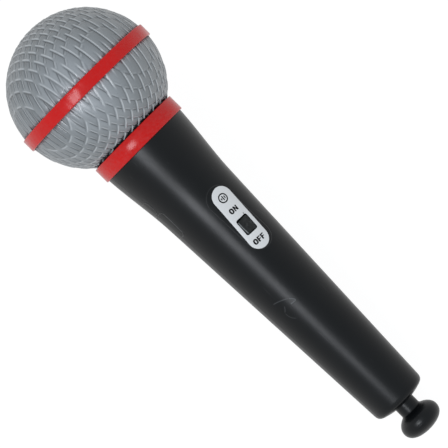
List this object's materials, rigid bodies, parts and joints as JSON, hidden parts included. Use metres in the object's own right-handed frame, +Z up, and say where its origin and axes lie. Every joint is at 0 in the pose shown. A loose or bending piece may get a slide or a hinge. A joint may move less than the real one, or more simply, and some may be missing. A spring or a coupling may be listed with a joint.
{
  "type": "toy microphone",
  "caption": "Hand-held toy microphone with a round head, red band and collar, tapered black handle, rocker switch on a silver label and a push knob at the tail.",
  "frame": {"origin": "centre of the bounding box on the floor, with the microphone lying on its side on the head band and the tail rim", "axes": "+X runs from the head towards the tail, +Z is up out of the label side, and the outside is symmetric about the XZ plane apart from the label"},
  "size_m": [0.2486, 0.0734, 0.0736],
  "materials": {
    "ball_grey": "semi-gloss moulded grey with a woven relief",
    "red_plastic": "glossy moulded red",
    "black_plastic": "satin black",
    "label_film": "satin silver film",
    "switch_black": "satin black",
    "plated_metal": "bright plated",
    "green_board": "green solder mask",
    "component_black": "dull black",
    "magnet_grey": "dull grey ferrite",
    "cone_black": "dull black film",
    "foam_black": "soft dull black",
    "cell_wrap": "blue printed wrap",
    "wire_red": "red insulation",
    "wire_white": "white insulation",
    "wire_black": "black insulation"
  },
  "bodies": {
    "microphone": {"head_front_dome": "ball_grey", "head_rear_dome": "ball_grey", "head_band": "red_plastic", "collar_ring": "red_plastic", "handle_upper_shell": "black_plastic", "handle_lower_shell": "black_plastic", "switch_label": "label_film", "slide_switch_body": "plated_metal", "circuit_board": "green_board", "board_components": "component_black", "board_screws": "plated_metal", "speaker_holder": "black_plastic", "speaker_frame": "plated_metal", "speaker_magnet": "magnet_grey", "speaker_cone": "cone_black", "speaker_gasket": "foam_black", "microphone_capsule": "plated_metal", "capsule_boot": "foam_black", "battery_tray": "black_plastic", "battery_cells": "cell_wrap", "battery_contacts": "plated_metal", "battery_springs": "plated_metal", "battery_door": "black_plastic", "door_screw": "plated_metal", "handle_screws": "plated_metal", "knob_spring": "plated_metal", "button_switch": "component_black", "button_bracket": "black_plastic", "speaker_wires": "wire_red", "capsule_wires": "wire_white", "battery_wires": "wire_red", "button_wires": "wire_black"},
    "switch_cap": {"switch_cap": "switch_black"},
    "slide_lever": {"slide_switch_lever": "component_black"},
    "knob": {"tail_knob": "black_plastic"}
  },
  "joints": [
    {"name": "switch_rock", "type": "hinge", "parent": "microphone", "child": "switch_cap", "pos_m": [0.00469, 0, 0.04207], "axis": [0, -1, 0], "range_deg": [0, 16]},
    {"name": "slide_switch", "type": "slide", "parent": "microphone", "child": "slide_lever", "axis": [0.9927, 0, -0.1207], "range_m": [0, 0.00153]},
    {"name": "knob_push", "type": "slide", "parent": "microphone", "child": "knob", "axis": [-0.9927, 0, 0.1207], "range_m": [0, 0.0035], "stiffness_N_per_m": 250, "springref_m": -0.004, "deforming": ["knob_spring"]}
  ],
  "couplings": [
    {"joint": "switch_rock", "follows": "slide_switch", "rad_per_m": 182.4}
  ]
}
